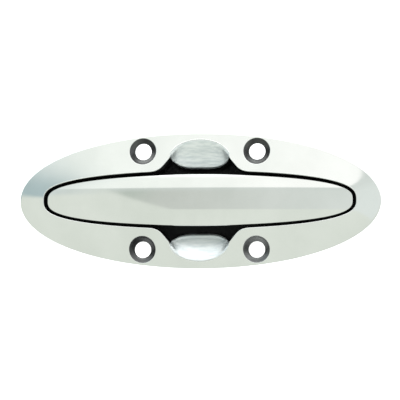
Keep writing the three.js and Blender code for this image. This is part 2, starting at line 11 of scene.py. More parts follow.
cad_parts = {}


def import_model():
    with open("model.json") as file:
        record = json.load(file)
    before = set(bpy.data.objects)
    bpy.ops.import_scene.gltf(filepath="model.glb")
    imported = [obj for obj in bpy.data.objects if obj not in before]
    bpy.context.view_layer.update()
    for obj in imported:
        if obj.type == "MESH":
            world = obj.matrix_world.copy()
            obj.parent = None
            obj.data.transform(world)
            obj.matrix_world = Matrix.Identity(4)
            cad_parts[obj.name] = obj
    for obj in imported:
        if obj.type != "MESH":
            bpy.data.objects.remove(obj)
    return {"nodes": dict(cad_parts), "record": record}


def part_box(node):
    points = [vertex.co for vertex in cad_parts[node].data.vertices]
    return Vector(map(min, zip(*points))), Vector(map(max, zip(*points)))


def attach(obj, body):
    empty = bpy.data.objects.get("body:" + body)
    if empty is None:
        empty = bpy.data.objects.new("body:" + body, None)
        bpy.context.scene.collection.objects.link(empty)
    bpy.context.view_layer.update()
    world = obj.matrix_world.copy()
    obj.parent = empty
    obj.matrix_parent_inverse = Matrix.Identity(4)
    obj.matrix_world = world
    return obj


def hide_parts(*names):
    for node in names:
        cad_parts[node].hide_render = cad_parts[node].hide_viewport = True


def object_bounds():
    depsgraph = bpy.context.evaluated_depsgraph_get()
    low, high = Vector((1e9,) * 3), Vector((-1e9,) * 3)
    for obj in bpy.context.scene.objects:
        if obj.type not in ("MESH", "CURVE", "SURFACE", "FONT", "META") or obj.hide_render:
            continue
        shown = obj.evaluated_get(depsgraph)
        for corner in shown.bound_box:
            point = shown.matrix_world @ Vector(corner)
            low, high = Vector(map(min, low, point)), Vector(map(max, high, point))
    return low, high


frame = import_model()
cad_low, cad_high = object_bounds()
MM = 0.001


def box_mm(node):
    """A CAD node's lowest and highest corners in millimetres."""
    low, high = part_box(node)
    return np.array(low) / MM, np.array(high) / MM


# ------------------------------------------------------------------ sizes, mm

PLATE_HIGH = box_mm("deck_plate")[1]
BAR_HIGH = box_mm("horn_bar")[1]
POST_LOW, POST_HIGH = box_mm("post_right")
CUP_LOW, CUP_HIGH = box_mm("drain_cup")
SEAL_LOW, SEAL_HIGH = box_mm("post_seal_right")
BARB_LOW, BARB_HIGH = box_mm("drain_barb")

FLANGE_A, FLANGE_B, FLANGE_POWER = PLATE_HIGH[0], PLATE_HIGH[1], 1 / 2.1
RIM_Z, CROWN_SLOPE, CROWN_FLATTEN, RIM_FILLET = 2.6, 0.245, 0.0008, 1.2
BAR_A, BAR_B, BAR_POWER = BAR_HIGH[0], BAR_HIGH[1], 0.345
BAR_TOP, BAR_DROOP, BAR_CAMBER, BAR_EDGE, BAR_LAND = BAR_HIGH[2], 4.8, 2.8, 0.4, 1.8
SLOT_A, SLOT_B = 77.85, 14.4
SCOOP_Y, SCOOP_RX, SCOOP_RY, SCOOP_DEPTH, SCOOP_POWER = 20.0, 14.9, 9.75, 7.4, 1.1
FLARE_X, FLARE_Y, FLARE_R, FLARE_TURN, FLARE_TIP = 24.4, 22.0, 8.0, 50.0, (14.67, 21.15)
LIP_Y, LIP_RISE, LIP_AT = 16.1, 5.0, 15.0
POCKET_FLOOR, POCKET_HALF = -14.0, 34.0
SLOT_EDGE, SCOOP_EDGE = 0.4, 2.2
POST_X = (POST_LOW[0] + POST_HIGH[0]) / 2
POST_R = (POST_HIGH[0] - POST_LOW[0]) / 2
BOLT_X, BOLT_Y, BOLT_R, SINK_R = 28.4, 24.4, 4.1, 6.65
GAP = 0.3
FLOOR_CLEARANCE = 1.8
CROWN_REACH, CROWN_EXPONENT, CROWN_SLOPE_EXPONENT = 24, 1.05, 1.1
BAR_SIDE, BAR_BELLY = 3, 10.5

# Points round the rim and round a bolt hole, and rings down each part of the opening.
RIM_POINTS, HOLE_POINTS = 420, 96
EDGE_STEPS, SLOPE_STEPS, LIP_STEPS, WALL_STEPS = 6, 14, 6, 5


def crown_z(x, y):
    """Height of the flange's crowned face."""
    u, v = x / FLANGE_A, np.abs(y / FLANGE_B)
    reach = np.hypot(u, v**CROWN_EXPONENT)
    steepness = np.hypot(u / FLANGE_A, CROWN_EXPONENT * v**CROWN_SLOPE_EXPONENT / FLANGE_B)
    from_rim = np.maximum(1 - reach, 0) * reach / np.maximum(steepness, 1e-4)
    from_rim = np.minimum(from_rim, CROWN_REACH)
    return RIM_Z + from_rim * (CROWN_SLOPE - CROWN_FLATTEN * from_rim)


def crown_normal(x, y):
    """Unit normals of the crown, from height differences over a short step."""
    e = 0.02
    gx = (crown_z(x + e, y) - crown_z(x - e, y)) / (2 * e)
    gy = (crown_z(x, y + e) - crown_z(x, y - e)) / (2 * e)
    n = np.stack([-gx, -gy, np.ones_like(gx)], axis=-1)
    return n / np.linalg.norm(n, axis=-1, keepdims=True)


def bar_arch(x):
    """Height of the bar along its middle line."""
    return BAR_TOP - BAR_DROOP * (x / BAR_A) ** 2


def bar_under(x):
    """Height of the bar's underside."""
    u = np.minimum(np.abs(x) / BAR_A, 1)
    return bar_arch(x) - BAR_SIDE - BAR_BELLY * (1 - u**2.4) ** 0.6


def bar_face(x, y):
    """Height of the bar's cambered top face."""
    return bar_arch(x) - BAR_CAMBER * (y / BAR_B) ** 2


def smooth_step(v):
    v = np.clip(v, 0, 1)
    return v * v * (3 - 2 * v)


def floor_z(x):
    """Height of the trough floor: shallow under the horns, deep between them."""
    deep = smooth_step((np.abs(x) - POCKET_HALF + 1) / 3)
    return POCKET_FLOOR + (bar_under(x) - FLOOR_CLEARANCE - POCKET_FLOOR) * deep


def lip_y(x):
    """Distance from the centre line of the lip where a scoop drops into the trough."""
    return LIP_Y + LIP_RISE * (x / LIP_AT) ** 4


def scoop_outer(x):
    """Distance from the centre line of a scoop's outer edge."""
    return SCOOP_Y + SCOOP_RY * np.sqrt(np.maximum(1 - (x / SCOOP_RX) ** 2, 0))


def scoop_z(x, y):
    """Height of a scoop's sloping face at the distance y from the centre line."""
    outer = scoop_outer(x)
    f = np.clip((y - SLOT_B) / np.maximum(outer - SLOT_B, 0.1), 0, 1)
    return crown_z(x, outer) - SCOOP_DEPTH * (1 - f**SCOOP_POWER)


# ------------------------------------------------------------------ outlines

def oval(a, b, power, count):
    t = np.linspace(0, 2 * math.pi, count, endpoint=False)
    s = np.sin(t)
    return np.stack([a * np.cos(t), b * np.sign(s) * np.abs(s) ** (2 * power)], axis=1)


def circle(cx, cy, r, count):
    t = np.linspace(0, 2 * math.pi, count, endpoint=False)
    return np.stack([cx + r * np.cos(t), cy + r * np.sin(t)], axis=1)


def evenly(points, step):
    """A closed line's points, respaced at equal distances along it."""
    loop = np.vstack([points, points[:1]])
    along = np.concatenate([[0], np.cumsum(np.linalg.norm(np.diff(loop, axis=0), axis=1))])
    count = int(round(along[-1] / step))
    at = np.linspace(0, along[-1], count, endpoint=False)
    return np.stack([np.interp(at, along, loop[:, k]) for k in range(2)], axis=1)


def eased(points, passes):
    """A closed line with its corners smoothed."""
    for _ in range(passes):
        points = (np.roll(points, 1, axis=0) + 2 * points + np.roll(points, -1, axis=0)) / 4
    return points


def outward(points):
    """Unit normals of a counter-clockwise closed line, pointing out of it."""
    t = np.roll(points, -1, axis=0) - np.roll(points, 1, axis=0)
    t = t / np.linalg.norm(t, axis=1, keepdims=True)
    return np.stack([t[:, 1], -t[:, 0]], axis=1)


def opening_outline():
    """The opening in the flange, counter-clockwise: slot, flares and both scoops."""
    start = math.acos(FLARE_X / SLOT_A)
    t = np.linspace(0, start, 400)
    slot = np.stack([SLOT_A * np.cos(t), SLOT_B * np.sin(t) ** (2 * BAR_POWER)], axis=1)
    a = np.radians(np.linspace(270, 270 - FLARE_TURN, 60))
    flare = np.stack([FLARE_X + FLARE_R * np.cos(a), FLARE_Y + FLARE_R * np.sin(a)], axis=1)
    flare = np.vstack([flare, FLARE_TIP])
    p = np.linspace(math.acos(FLARE_TIP[0] / SCOOP_RX), math.pi / 2, 80)
    scoop = np.stack([SCOOP_RX * np.cos(p), SCOOP_Y + SCOOP_RY * np.sin(p)], axis=1)
    right = np.vstack([slot, flare[1:], scoop])
    left = right[::-1][1:] * [-1, 1]
    upper = np.vstack([right, left])
    both = np.vstack([upper, -upper[1:-1]])
    return eased(evenly(both, 0.5), 3)


# ------------------------------------------------------------------ mesh building

WELD = 0.004
ON_FACE = 0.002


class Skin:
    """Vertices and faces gathered from strips and filled areas, in millimetres."""

    def __init__(self):
        self.vertices = []
        self.faces = []
        self.marks = []
        self.count = 0

    def add(self, points):
        self.vertices.append(np.asarray(points, float))
        first = self.count
        self.count += len(points)
        return np.arange(first, self.count)

    def strip(self, rings, mark=0):
        """Joins closed rings of equal length with quads."""
        ids = [self.add(r) for r in rings]
        self.bridge(ids, mark)
        return ids

    def bridge(self, ids, mark=0):
        """Quads between rings already added, with one mark or a mark for each quad."""
        for a, b in zip(ids, ids[1:]):
            quads = np.stack([a, np.roll(a, -1), np.roll(b, -1), b], axis=1)
            self.faces += quads.tolist()
            self.marks += np.broadcast_to(mark, len(quads)).tolist()

    def prism(self, rings):
        """A strip closed by a face at each end."""
        ids = self.strip(rings)
        self.faces += [ids[0][::-1].tolist(), ids[-1].tolist()]
        self.marks += [0, 0]

    def fill(self, loops, spacing, inside, height, mark=0):
        """Triangles between closed loops of plan points, on the surface height(x, y)."""
        points = [p for loop in loops for p in loop]
        edges = []
        first = 0
        for loop in loops:
            n = len(loop)
            edges += [(first + i, first + (i + 1) % n) for i in range(n)]
            first += n
        low, high = np.min(points, axis=0), np.max(points, axis=0)
        row = 0
        y = low[1] + spacing / 2
        fixed = np.array(points)
        while y < high[1]:
            for x in np.arange(low[0] + (row % 2) * spacing / 2, high[0], spacing):
                nearest = np.min(np.sum((fixed - (x, y)) ** 2, axis=1))
                if inside(x, y) and nearest > (0.45 * spacing) ** 2:
                    points.append((x, y))
            y += spacing * 0.866
            row += 1
        out = delaunay_2d_cdt([Vector(p) for p in points], edges, [], 0, 1e-5)
        plan = np.array([tuple(v) for v in out[0]])
        ids = self.add(np.column_stack([plan, height(plan[:, 0], plan[:, 1])]))
        for face in out[2]:
            cx, cy = plan[list(face)].mean(axis=0)
            if inside(cx, cy):
                self.faces.append([int(ids[i]) for i in face])
                self.marks.append(mark)

    def build(self, name, materials, sharp=None, closed=True):
        """The welded mesh as an object. A closed one gets its faces turned outward."""
        mesh = bpy.data.meshes.new(name)
        mesh.from_pydata((np.vstack(self.vertices) * MM).tolist(), [], self.faces)
        mesh.polygons.foreach_set("material_index", self.marks)
        bm = bmesh.new()
        bm.from_mesh(mesh)
        bmesh.ops.remove_doubles(bm, verts=bm.verts, dist=WELD * MM)
        bmesh.ops.dissolve_degenerate(bm, edges=bm.edges, dist=WELD * MM * 0.5)
        loose = [v for v in bm.verts if not v.link_faces]
        bmesh.ops.delete(bm, geom=loose, context="VERTS")
        if closed:
            bmesh.ops.recalc_face_normals(bm, faces=bm.faces)
        bm.to_mesh(mesh)
        bm.free()
        mesh.polygons.foreach_set("use_smooth", [True] * len(mesh.polygons))
        if sharp is not None:
            mesh.set_sharp_from_angle(angle=math.radians(sharp))
        for m in materials:
            mesh.materials.append(m)
        piece = bpy.data.objects.new(name, mesh)
        bpy.context.scene.collection.objects.link(piece)
        return piece


def point_in(loop):
    """A test of whether a plan point lies inside a closed loop."""
    x0, y0 = loop[:, 0], loop[:, 1]
    x1, y1 = np.roll(x0, -1), np.roll(y0, -1)
    rise = np.where(np.abs(y1 - y0) < 1e-12, 1e-12, y1 - y0)

    def test(x, y):
        crossing = ((y0 > y) != (y1 > y)) & (x < (x1 - x0) * (y - y0) / rise + x0)
        return bool(np.count_nonzero(crossing) % 2)

    return test


def shade_crown(piece, height, normal):
    """Gives the points that lie on a face known by formula that face's exact normals."""
    mesh = piece.data
    count = len(mesh.vertices)
    points = np.empty(count * 3)
    mesh.vertices.foreach_get("co", points)
    points = points.reshape(-1, 3) / MM
    normals = np.empty(count * 3)
    mesh.vertex_normals.foreach_get("vector", normals)
    normals = normals.reshape(-1, 3)
    x, y, z = points.T
    on_face = (np.abs(z - height(x, y)) < ON_FACE) & (normals[:, 2] > 0.5)
    normals[on_face] = normal(x, y)[on_face]
    mesh.normals_split_custom_set_from_vertices(normals.tolist())


def ring3(plan, z):
    """Plan points raised to a height, or to a height each."""
    return np.column_stack([plan, np.broadcast_to(z, len(plan))])


# ------------------------------------------------------------------ finishes

class Finish:
    """A node material with colour, roughness and fine relief that vary over the surface."""

    def __init__(self, name, metallic, tint, rough, relief=0.0, grain=(900, 900, 900),
                 specular=0.5):
        self.material = bpy.data.materials.new(name)
        self.material.use_nodes = True
        self.tree = self.material.node_tree
        self.shader = self.tree.nodes["Principled BSDF"]
        self.shader.inputs["Metallic"].default_value = metallic
        self.shader.inputs["Specular IOR Level"].default_value = specular
        self.place = self.node("ShaderNodeTexCoord").outputs["Object"]
        patches = self.noise((45, 45, 45), 3, 0.55)
        fine = self.noise(grain, 4, 0.6)
        self.link(self.ramp(patches, tint[0], tint[1], 0.35, 0.7), "Base Color")
        self.link(self.spread(self.blend(patches, fine, 0.6), *rough), "Roughness")
        if relief:
            self.bump(fine, relief, 0.00005)

    def node(self, kind, **values):
        n = self.tree.nodes.new(kind)
        for key, value in values.items():
            setattr(n, key, value)
        return n

    def join(self, a, b):
        self.tree.links.new(a, b)

    def link(self, socket, name):
        self.join(socket, self.shader.inputs[name])

    def scaled(self, scale):
        mapping = self.node("ShaderNodeMapping")
        mapping.inputs["Scale"].default_value = scale
        self.join(self.place, mapping.inputs["Vector"])
        return mapping.outputs["Vector"]

    def noise(self, scale, detail, rough):
        n = self.node("ShaderNodeTexNoise")
        n.inputs["Scale"].default_value = 1
        n.inputs["Detail"].default_value = detail
        n.inputs["Roughness"].default_value = rough
        self.join(self.scaled(scale), n.inputs["Vector"])
        return n.outputs["Fac"]

    def ramp(self, factor, low, high, start, end):
        n = self.node("ShaderNodeValToRGB")
        n.color_ramp.elements[0].position = start
        n.color_ramp.elements[1].position = end
        n.color_ramp.elements[0].color = (*low, 1)
        n.color_ramp.elements[1].color = (*high, 1)
        self.join(factor, n.inputs["Fac"])
        return n.outputs["Color"]

    def spread(self, factor, low, high):
        """Stretches a noise's usual reach over the values from low to high."""
        n = self.node("ShaderNodeMapRange")
        n.inputs["From Min"].default_value = 0.3
        n.inputs["From Max"].default_value = 0.7
        n.inputs["To Min"].default_value = low
        n.inputs["To Max"].default_value = high
        self.join(factor, n.inputs["Value"])
        return n.outputs["Result"]

    def blend(self, a, b, share):
        n = self.node("ShaderNodeMix", data_type="FLOAT")
        n.inputs["Factor"].default_value = share
        self.join(a, n.inputs["A"])
        self.join(b, n.inputs["B"])
        return n.outputs["Result"]

    def bump(self, height, strength, distance):
        """Adds fine relief on top of any relief already there."""
        n = self.node("ShaderNodeBump")
        n.inputs["Strength"].default_value = strength
        n.inputs["Distance"].default_value = distance
        self.join(height, n.inputs["Height"])
        before = self.shader.inputs["Normal"].links
        if before:
            self.join(before[0].from_socket, n.inputs["Normal"])
        self.link(n.outputs["Normal"], "Normal")


polish = Finish("polished_steel", 1.0, ((0.80, 0.815, 0.80), (0.86, 0.87, 0.86)), (0.05, 0.1))
polish.bump(polish.noise((60, 2600, 2600), 2, 0.5), 0.012, 0.00002)
satin = Finish("satin_steel", 1.0, ((0.78, 0.81, 0.81), (0.92, 0.94, 0.93)), (0.42, 0.56))
strokes = satin.noise((130, 900, 900), 5, 0.65)
satin.link(satin.ramp(strokes, (0.73, 0.78, 0.80), (0.95, 0.98, 0.985), 0.34, 0.62), "Base Color")
satin.bump(strokes, 0.3, 0.0001)
# Near-black tint here is painted shade in the countersinks and bolt bores, on steel like the rest of
# the flange.
countersunk = Finish("countersink_painted_shade", 1.0, ((0.045, 0.046, 0.048), (0.2, 0.205, 0.205)),
                     (0.22, 0.4), 0.25)
# Near-black tint here is painted shade: it stands in for the shade deep in the pocket and in the gap
# round the bar.
pocket_painted_shade = Finish("trough_painted_shade", 0.7, ((0.02, 0.021, 0.022), (0.045, 0.045, 0.045)),
                 (0.5, 0.7), 0.4)
cast = Finish("bead_blasted_casting", 1.0, ((0.3, 0.305, 0.3), (0.42, 0.425, 0.415)),
              (0.4, 0.52), 0.35, (1500, 1500, 1500))
turned_steel = Finish("turned_steel", 1.0, ((0.4, 0.41, 0.4), (0.5, 0.51, 0.5)), (0.26, 0.38))
turned_steel.bump(turned_steel.noise((30, 30, 5000), 2, 0.5), 0.1, 0.00002)
ground = Finish("ground_steel", 1.0, ((0.7, 0.71, 0.7), (0.8, 0.81, 0.8)), (0.1, 0.18))
ground.bump(ground.noise((40, 40, 6000), 2, 0.5), 0.06, 0.00001)
nylon = Finish("black_nylon", 0.0, ((0.007, 0.0075, 0.008), (0.014, 0.0145, 0.0155)),
               (0.42, 0.58), 0.3, (2200, 2200, 2200), specular=0.3)
rubber = Finish("black_rubber", 0.0, ((0.012, 0.012, 0.013), (0.022, 0.022, 0.023)),
                (0.6, 0.8), 0.3)
acetal = Finish("natural_acetal", 0.0, ((0.76, 0.73, 0.66), (0.83, 0.81, 0.75)),
                (0.32, 0.45), 0.1)


# ------------------------------------------------------------------ flange and trough

OPENING = opening_outline()
OPENING_OUT = outward(OPENING)


def opening_rings():
    """Rings down the opening: rounded edge, scoop slopes, lips and upright walls to the floor."""
    x, y = OPENING.T
    side = np.sign(y)
    on_scoop = np.abs(y) > FLARE_TIP[1] + 0.1
    fade = smooth_step((FLARE_TIP[0] - np.abs(x)) / 0.9)
    slope = np.where(on_scoop, (scoop_outer(x) - lip_y(x)) * fade, 0)
    share = smooth_step(slope / 3)
    turn = np.radians(90 - 45 * share)
    radius = SLOT_EDGE + (SCOOP_EDGE - SLOT_EDGE) * share
    rings = []
    for k in range(EDGE_STEPS + 1):
        a = turn * k / EDGE_STEPS
        inward = radius * (np.sin(a) - np.tan(turn / 2))
        plan = OPENING - OPENING_OUT * inward[:, None]
        rings.append(np.column_stack([plan, crown_z(*plan.T) - radius * (1 - np.cos(a))]))
    edge = rings[-1]
    ex, ey, ez = edge.T
    lip_r = np.minimum(1.8, 0.5 * slope)
    start = np.abs(ey)
    sloped = slope > 0.02
    reach = np.minimum(lip_y(ex) + lip_r, start) - start
    stop = start + reach * smooth_step(slope / 1.2)
    offset = ez - scoop_z(ex, start)
    for k in range(1, SLOPE_STEPS + 1):
        g = k / SLOPE_STEPS
        yy = start + (stop - start) * g
        zz = np.where(sloped, scoop_z(ex, yy) + offset * (1 - g), ez)
        rings.append(np.column_stack([ex, side * yy, zz]))
    base = rings[-1][:, 2]
    for k in range(1, LIP_STEPS + 1):
        a = math.pi / 2 * k / LIP_STEPS
        yy = np.where(sloped, stop - lip_r * math.sin(a), start)
        zz = np.where(sloped, base - lip_r * (1 - math.cos(a)), ez)
        rings.append(np.column_stack([ex, side * yy, zz]))
    last = rings[-1]
    low = floor_z(last[:, 0])
    for k in range(1, WALL_STEPS + 1):
        z = last[:, 2] + (low - last[:, 2]) * k / WALL_STEPS
        rings.append(np.column_stack([last[:, :2], z]))
    return rings, sloped


def bolt_hole(skin, cx, cy):
    """Adds a countersunk hole to the flange and returns its outline in the crown."""
    def loop(r):
        return circle(cx, cy, r, HOLE_POINTS)

    def on_crown(r, drop):
        plan = loop(r)
        return ring3(plan, crown_z(*plan.T) - drop)

    sink_z = float(crown_z(np.array(cx), np.array(cy))) - (SINK_R - BOLT_R)
    skin.strip([on_crown(SINK_R + 0.18, 0.0), on_crown(SINK_R + 0.07, 0.03), on_crown(SINK_R, 0.1)])
    outer, neck, wall = loop(SINK_R), loop(BOLT_R + 0.12), loop(BOLT_R)
    outer_z = crown_z(*outer.T) - 0.1
    # Mark 1 gives the cones and the bore the painted-shade finish.
    for ends in ((0.0, 0.5), (0.5, 1.0)):
        cone = [ring3(outer + (neck - outer) * f, outer_z + (sink_z - outer_z) * f) for f in ends]
        skin.strip(cone, 1)
    skin.strip([ring3(neck, sink_z), ring3(wall, sink_z - 0.12), ring3(wall, 0.3),
                ring3(loop(BOLT_R + 0.3), 0.0)], 1)
    return loop(SINK_R + 0.18)


def flange():
    """The polished crown with its rim, four countersunk holes and flat underside."""
    skin = Skin()

    def rim_at(inset, z):
        plan = oval(FLANGE_A - inset, FLANGE_B - inset, FLANGE_POWER, RIM_POINTS)
        return ring3(plan, z(*plan.T) if callable(z) else z)

    def rounded(inset):
        rise = math.sqrt(1 - (1 - inset / RIM_FILLET) ** 2)
        return rim_at(inset, lambda x, y: RIM_FILLET + (crown_z(x, y) - RIM_FILLET) * rise)

    insets = [RIM_FILLET * (1 - math.cos(math.pi / 2 * k / 8)) for k in range(9)]
    edge = [rim_at(0.4, 0.0), rim_at(0.12, 0.12), rim_at(0.0, 0.4)]
    edge += [rounded(i) for i in insets]
    skin.strip(edge)
    mouth = opening_rings()[0][0]
    low_rim, high_rim, inner = edge[0][:, :2], edge[-1][:, :2], mouth[:, :2]
    skin.strip([ring3(inner, 0.0), mouth])
    holes = [(sx * BOLT_X, sy * BOLT_Y) for sx in (-1, 1) for sy in (-1, 1)]
    in_mouth = point_in(inner)

    def on_metal(rim, clear):
        in_rim = point_in(rim)

        def test(x, y):
            past_bolts = all((x - cx) ** 2 + (y - cy) ** 2 > clear**2 for cx, cy in holes)
            return past_bolts and in_rim(x, y) and not in_mouth(x, y)

        return test

    sinks = [bolt_hole(skin, cx, cy) for cx, cy in holes]
    skin.fill([high_rim, inner, *sinks], 1.7, on_metal(high_rim, SINK_R + 0.175), crown_z)
    bores = [circle(cx, cy, BOLT_R + 0.3, HOLE_POINTS) for cx, cy in holes]
    skin.fill([low_rim, inner, *bores], 6.0, on_metal(low_rim, BOLT_R + 0.296), lambda x, y: 0 * x)
    piece = skin.build("deck_flange", [polish.material, countersunk.material], sharp=50)
    shade_crown(piece, crown_z, crown_normal)
    return piece


def trough_skin():
    """The opening's edge, scoops, walls and floor, as an open sheet."""
    skin = Skin()
    rings, sloped = opening_rings()
    ids = [skin.add(r) for r in rings]
    # The dark mark gives the slot walls, the walls below the lips and the trough floor the
    # painted-shade finish.
    bright, brushed, dark = 0, 1, 2
    either = sloped | np.roll(sloped, -1)
    for k in range(len(ids) - 1):
        if k < EDGE_STEPS:
            marks = np.where(either & (k > 1), brushed, bright)
        elif k < EDGE_STEPS + SLOPE_STEPS + LIP_STEPS:
            marks = np.where(either, brushed, dark)
        else:
            marks = dark
        skin.bridge(ids[k:k + 2], marks)
    base = rings[-1][:, :2]
    seal_r = (SEAL_HIGH[0] - SEAL_LOW[0]) / 2 + GAP
    holes = [circle(s * POST_X, 0, seal_r, 72) for s in (-1, 1)]
    holes += [circle(0, s * 8.5, 3.0, 40) for s in (-1, 1)]
    in_base = point_in(base)
    in_holes = [point_in(h) for h in holes]

    def on_floor(x, y):
        return in_base(x, y) and not any(test(x, y) for test in in_holes)

    skin.fill([base, *holes], 2.2, on_floor, lambda x, y: floor_z(x), mark=dark)
    piece = skin.build("deck_trough", [polish.material, satin.material, pocket_painted_shade.material],
                       sharp=40, closed=False)
    shade_crown(piece, crown_z, crown_normal)
    return piece


# ------------------------------------------------------------------ bar

def bar_rings(count):
    """Rings from the middle of the bar's underside, round its edge, to the middle of its top."""
    def ring(inset, height):
        plan = oval(BAR_A - inset, max(BAR_B - inset, 0.0), BAR_POWER, count)
        return ring3(plan, height(*plan.T))

    def under(inset):
        q = 1 - inset / BAR_B

        def height(x, y):
            side = bar_face(x, y) - BAR_EDGE - BAR_LAND
            return side + (bar_under(x) - side) * math.sqrt(1 - q * q)

        return ring(inset, height)

    def over(inset):
        near = min(inset / BAR_EDGE, 1)
        drop = BAR_EDGE * (1 - math.sqrt(1 - (1 - near) ** 2))
        return ring(inset, lambda x, y: bar_face(x, y) - drop)

    low = [under(BAR_B * (1 - math.sin(math.pi / 2 * k / 22))) for k in range(23)]
    edge = [over(BAR_EDGE * (1 - math.cos(math.pi / 2 * k / 9))) for k in range(10)]
    face = [over(BAR_EDGE + (BAR_B - BAR_EDGE) * k / 16) for k in range(1, 17)]
    return low + edge + face


def bar_normal(x, y):
    """Unit normals of the bar's top face."""
    gx, gy = 2 * BAR_DROOP * x / BAR_A**2, 2 * BAR_CAMBER * y / BAR_B**2
    n = np.stack([gx, gy, np.ones_like(x)], axis=-1)
    return n / np.linalg.norm(n, axis=-1, keepdims=True)


def horn_bar():
    skin = Skin()
    skin.strip(bar_rings(360))
    piece = skin.build("bar_polished", [polish.material])
    shade_crown(piece, bar_face, bar_normal)
    return piece


# ------------------------------------------------------------------ turned and moulded parts

TURN_STEPS = 4


def eased_line(corners, closed=False):
    """A line through (r, z, easing) corners, each corner rounded off by its own easing."""
    points = np.array([c[:2] for c in corners], float)
    line = []
    for i, corner in enumerate(corners):
        ease = corner[2] if len(corner) > 2 else 0
        at_end = not closed and i in (0, len(corners) - 1)
        if at_end or not ease:
            line.append(points[i])
            continue
        before = points[i - 1] - points[i]
        after = points[(i + 1) % len(points)] - points[i]
        lengths = np.linalg.norm(before), np.linalg.norm(after)
        cut = min(ease, 0.48 * lengths[0], 0.48 * lengths[1])
        p = points[i] + before / lengths[0] * cut
        q = points[i] + after / lengths[1] * cut
        for t in np.linspace(0, 1, TURN_STEPS + 1):
            line.append((1 - t) ** 2 * p + 2 * t * (1 - t) * points[i] + t * t * q)
    return np.array(line)


def moved(points, place):
    m = np.array(place)
    return points @ m[:3, :3].T + m[:3, 3]


def lathe(skin, corners, place=Matrix.Identity(4), count=64, closed=False):
    """A turned body about the Z axis of its place."""
    line = eased_line(corners, closed)
    t = np.linspace(0, 2 * math.pi, count, endpoint=False)
    ids = []
    for r, z in line:
        ring = np.column_stack([r * np.cos(t), r * np.sin(t), np.full(count, z)])
        ids.append(skin.add(moved(ring, place)))
    skin.bridge(ids + ids[:1] if closed else ids)


def slab(skin, plan, z0, z1, edge, place=Matrix.Identity(4), low_edge=None):
    """A closed plate over the outline plan(inset), with rounded rims."""
    low_edge = edge if low_edge is None else low_edge
    turn = [(math.sin(a), math.cos(a)) for a in
            (math.pi / 2 * k / TURN_STEPS for k in range(TURN_STEPS + 1))]
    rings = [ring3(plan(low_edge * (1 - sin)), z0 + low_edge * (1 - cos)) for sin, cos in turn]
    rings += [ring3(plan(edge * (1 - cos)), z1 - edge * (1 - sin)) for sin, cos in turn]
    skin.prism([moved(r, place) for r in rings])


def rounded_rect(half_x, half_y, corner, steps=12):
    """A rounded rectangle's outline as a function of its inset."""
    def plan(inset):
        r = corner - inset
        sides = []
        for k, (sx, sy) in enumerate(((1, 1), (-1, 1), (-1, -1), (1, -1))):
            a = np.radians(np.linspace(90 * k, 90 * k + 90, steps + 1))
            cx, cy = sx * (half_x - corner), sy * (half_y - corner)
            sides.append(np.stack([cx + r * np.cos(a), cy + r * np.sin(a)], axis=1))
        return np.vstack(sides)

    return plan


def hexagon(r, x=0.0, y=0.0):
    return circle(x, y, r, 6)


def settle(piece):
    """Applies a piece's modifiers to its mesh."""
    mesh = bpy.data.meshes.new_from_object(piece.evaluated_get(bpy.context.evaluated_depsgraph_get()))
    piece.modifiers.clear()
    piece.data = mesh


def carve(piece, tool, operation="DIFFERENCE"):
    """Cuts a piece with a tool, joins them or keeps what they share, and removes the tool."""
    cut = piece.modifiers.new("carve", "BOOLEAN")
    cut.operation = operation
    cut.solver = "MANIFOLD"
    cut.object = tool
    settle(piece)
    bpy.data.objects.remove(tool)


def bevelled(piece, width):
    """Rounds off a piece's sharp edges."""
    bevel = piece.modifiers.new("bevel", "BEVEL")
    bevel.width = width * MM
    bevel.segments = 2
    bevel.limit_method = "ANGLE"
    bevel.angle_limit = math.radians(40)
    settle(piece)


def finished(piece, body, replaced, sharp=None, weighted=True):
    """Smooths a piece, hands it to its body and hides the CAD part it stands for."""
    mesh = piece.data
    if sharp is not None:
        mesh.polygons.foreach_set("use_smooth", [True] * len(mesh.polygons))
        mesh.set_sharp_from_angle(angle=math.radians(sharp))
    if weighted:
        piece.modifiers.new("flat faces", "WEIGHTED_NORMAL").keep_sharp = True
    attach(piece, body)
    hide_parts(replaced)
    return piece


def at(x=0.0, y=0.0, z=0.0):
    return Matrix.Translation((x, y, z))


ALONG_X = Matrix.Rotation(math.pi / 2, 4, "Y")
CUP_TOP, CUP_BOTTOM = CUP_HIGH[2], CUP_LOW[2]
CUP_X, CUP_Y, CUP_CORNER, CUP_WALL, CUP_FILLET = 45.5, 15.3, 12.0, 2.5, 3.0
NECK_Y, SHOULDER_Z, NECK_Z = 12.5, -40.0, -46.0
RIM_X, RIM_H, RIM_EDGE, EAR_R = CUP_HIGH[0], 3.5, 0.6, 5.0
HOLLOW_FILLET, SCREW_HOLE_R = 2.0, 2.4
EAR_Y = CUP_HIGH[1] - EAR_R
SCREWS = [(-50, -8), (-50, 8), (0, -EAR_Y), (0, EAR_Y), (50, -8), (50, 8)]
BARB_Z = (BARB_LOW[2] + BARB_HIGH[2]) / 2


